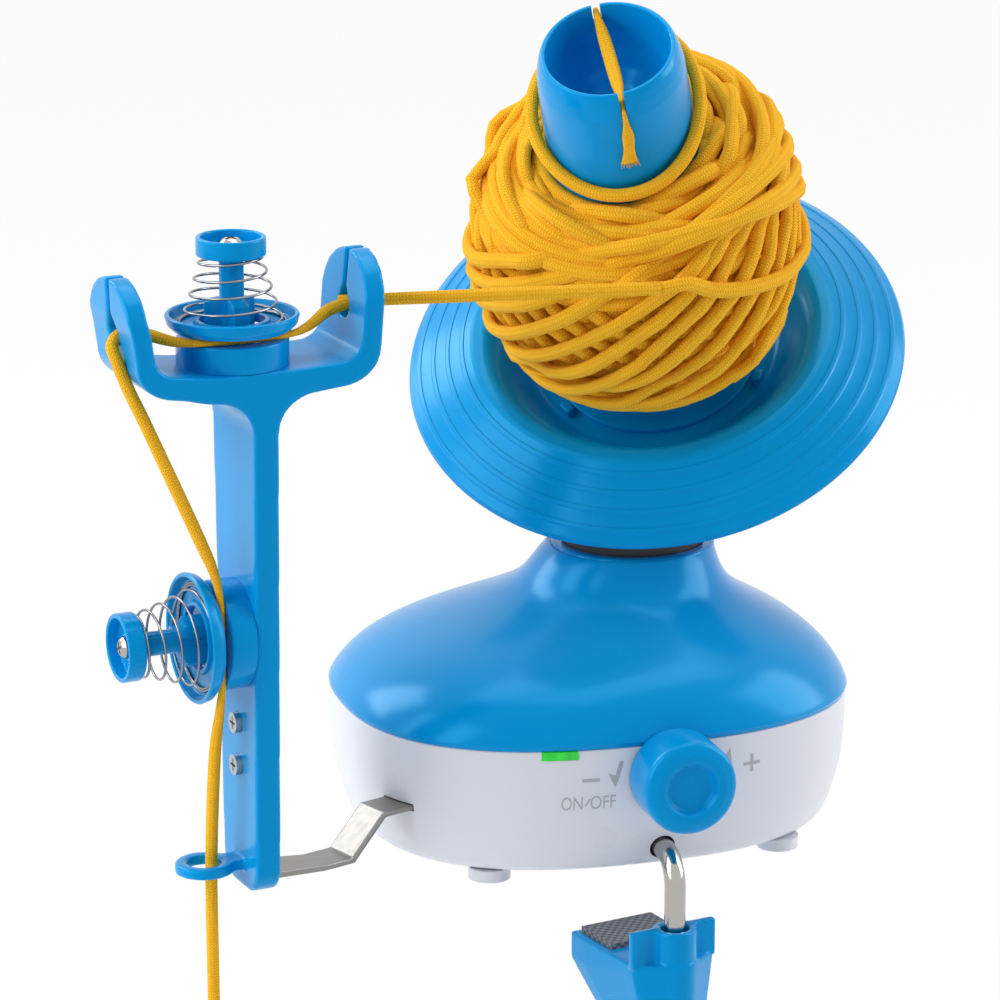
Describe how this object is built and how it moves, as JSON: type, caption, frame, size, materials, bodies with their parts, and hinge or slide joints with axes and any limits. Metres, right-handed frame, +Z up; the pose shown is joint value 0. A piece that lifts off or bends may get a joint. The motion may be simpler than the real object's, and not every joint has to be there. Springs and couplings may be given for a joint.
{
  "type": "yarn ball winder",
  "caption": "Electric yarn ball winder: geared drive base, tilted winding head with a wound ball, yarn arm with spring tensioners and a table clamp",
  "frame": {"origin": "on the winding axis, in the plane of the table top under the feet", "axes": "+Z up along the winding axis, -Y to the front with the speed knob and clamp, +X to the viewer's right, away from the yarn arm"},
  "size_m": [0.2993, 0.2008, 0.3954],
  "materials": {
    "blue_plastic": "moulded blue plastic, satin gloss",
    "white_plastic": "moulded white plastic, satin gloss",
    "gear_plastic": "natural nylon",
    "black_plastic": "black moulded plastic",
    "polished_steel": "polished steel rod",
    "plated_steel": "zinc-plated steel",
    "spring_steel": "drawn spring wire",
    "brass": "machined brass",
    "grey_rubber": "grey rubber",
    "board_green": "circuit board",
    "lead_red": "insulated lead",
    "lens_green": "translucent green lens",
    "yarn": "golden chain-knit wool yarn"
  },
  "bodies": {
    "base": {"lower_housing": "white_plastic", "upper_housing": "blue_plastic", "feet": "white_plastic", "housing_screws": "plated_steel", "chassis_plate": "plated_steel", "chassis_screws": "plated_steel", "motor": "plated_steel", "motor_screws": "plated_steel", "idler_axle": "plated_steel", "lower_bearing": "plated_steel", "upper_bearing": "plated_steel", "drive_collar": "black_plastic", "collar_screws": "plated_steel", "traction_ring": "grey_rubber", "control_board": "board_green", "board_parts": "black_plastic", "potentiometer": "plated_steel", "indicator_led": "lens_green", "indicator_lens": "lens_green", "power_jack": "black_plastic", "motor_leads": "lead_red", "jack_leads": "lead_red", "yarn_arm": "blue_plastic", "arm_strip": "plated_steel", "arm_screws": "plated_steel", "upper_post": "blue_plastic", "upper_spring": "spring_steel", "upper_cap": "blue_plastic", "lower_post": "blue_plastic", "lower_spring": "spring_steel", "lower_cap": "blue_plastic", "cap_screws": "polished_steel", "yarn_strand": "yarn", "yarn_feed": "yarn"},
    "head": {"main_shaft": "plated_steel", "main_gear": "gear_plastic", "shaft_clips": "plated_steel", "crank_head": "blue_plastic", "spindle_pin": "plated_steel", "spindle_clip": "plated_steel"},
    "turntable": {"winding_plate": "blue_plastic", "plate_bush": "brass", "bobbin": "blue_plastic", "yarn_core": "yarn", "yarn_winding": "yarn", "yarn_tail": "yarn"},
    "pinion": {"motor_shaft": "plated_steel", "motor_pinion": "brass"},
    "idler": {"idler_gear": "gear_plastic"},
    "knob": {"speed_knob": "blue_plastic", "knob_shaft": "plated_steel"},
    "rod": {"clamp_rod": "polished_steel"},
    "jaw": {"clamp_jaw": "blue_plastic", "clamp_pad": "grey_rubber"},
    "nut": {"clamp_nut": "blue_plastic"},
    "upper_disc": {"upper_disc": "blue_plastic"},
    "lower_disc": {"lower_disc": "blue_plastic"}
  },
  "joints": [
    {"name": "head_spin", "type": "hinge", "parent": "base", "child": "head", "pos_m": [0, 0, 0.1], "axis": [0, 0, 1], "continuous": true, "deforming": ["yarn_feed"]},
    {"name": "turntable_spin", "type": "hinge", "parent": "head", "child": "turntable", "pos_m": [0, 0, 0.2054], "axis": [-0.2911, -0.4942, 0.8191], "continuous": true, "deforming": ["yarn_feed"]},
    {"name": "idler_spin", "type": "hinge", "parent": "base", "child": "idler", "pos_m": [-0.037, 0, 0.06], "axis": [0, 0, 1], "continuous": true},
    {"name": "pinion_spin", "type": "hinge", "parent": "base", "child": "pinion", "pos_m": [-0.063, 0, 0.055], "axis": [0, 0, 1], "continuous": true},
    {"name": "knob_turn", "type": "hinge", "parent": "base", "child": "knob", "pos_m": [-0.01, -0.08, 0.0385], "axis": [0, 1, 0], "range_deg": [0, 280]},
    {"name": "rod_slide", "type": "slide", "parent": "base", "child": "rod", "axis": [0, -1, 0], "range_m": [0, 0.04]},
    {"name": "jaw_slide", "type": "slide", "parent": "rod", "child": "jaw", "axis": [0, 0, 1], "range_m": [-0.02, 0.012]},
    {"name": "nut_spin", "type": "hinge", "parent": "jaw", "child": "nut", "pos_m": [-0.012, -0.08, -0.083], "axis": [0, 0, 1], "range_deg": [-3600, 2160]},
    {"name": "upper_disc_lift", "type": "slide", "parent": "base", "child": "upper_disc", "axis": [0, 0, 1], "range_m": [0, 0.007], "deforming": ["upper_spring"]},
    {"name": "lower_disc_lift", "type": "slide", "parent": "base", "child": "lower_disc", "axis": [-0.9903, -0.1392, 0], "range_m": [0, 0.007], "deforming": ["lower_spring"]}
  ],
  "couplings": [
    {"joint": "turntable_spin", "follows": "head_spin", "ratio": -0.33454},
    {"joint": "idler_spin", "follows": "head_spin", "ratio": -4.2857},
    {"joint": "pinion_spin", "follows": "head_spin", "ratio": 14.286},
    {"joint": "nut_spin", "follows": "jaw_slide", "rad_per_m": 3141.6}
  ]
}
